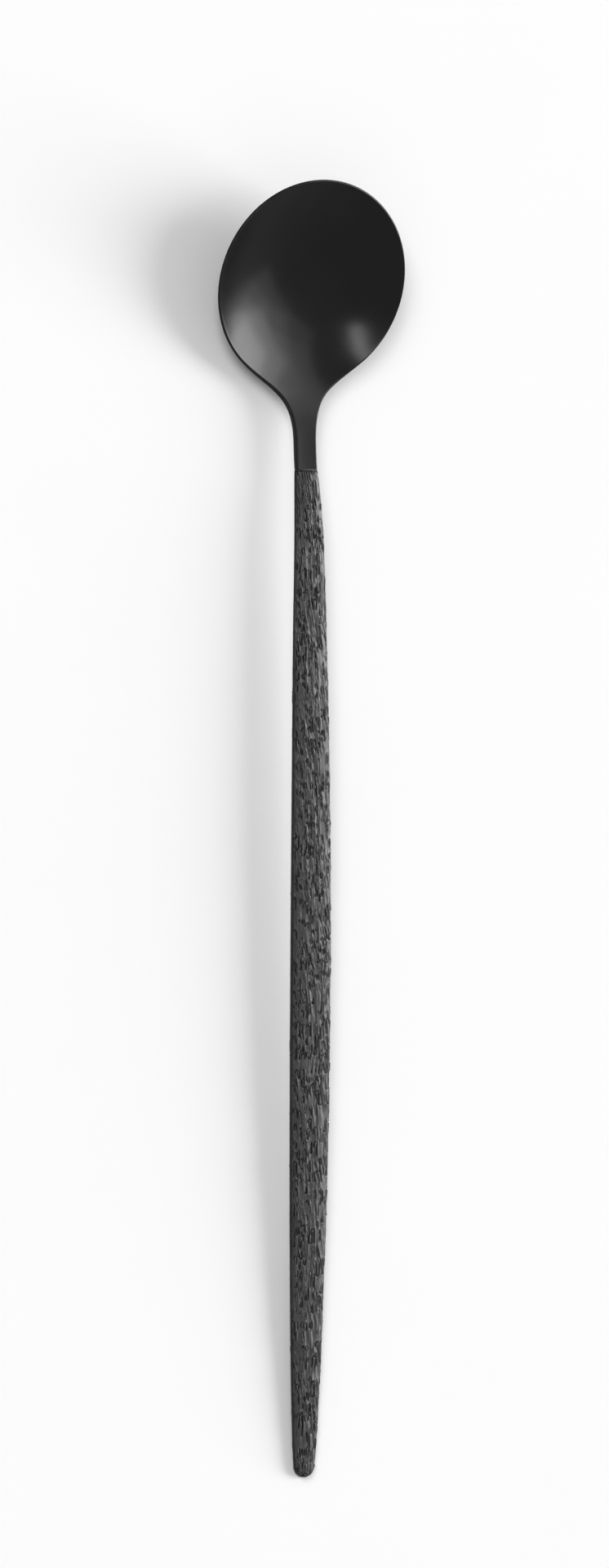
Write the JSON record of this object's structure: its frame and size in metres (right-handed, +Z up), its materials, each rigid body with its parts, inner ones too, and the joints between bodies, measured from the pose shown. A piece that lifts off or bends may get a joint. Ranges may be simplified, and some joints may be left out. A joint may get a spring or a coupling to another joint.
{
  "type": "long-handled spoon",
  "caption": "Slim matte black spoon with a round tilted bowl, a narrow neck and an arched bark-grained handle bonded over a hidden tang.",
  "frame": {"origin": "on the table, under the middle of the spoon's length", "axes": "+Y from the handle's tail to the bowl's tip, +Z up from the table, X across the spoon"},
  "size_m": [0.0342, 0.2151, 0.0135],
  "materials": {
    "blank_coat": "satin black coat, smooth",
    "handle_coat": "satin black coat over bark relief",
    "bond": "cured adhesive, dull"
  },
  "bodies": {
    "root": {"bowl_blank": "blank_coat", "handle": "handle_coat", "tang_bond": "bond"}
  },
  "joints": []
}
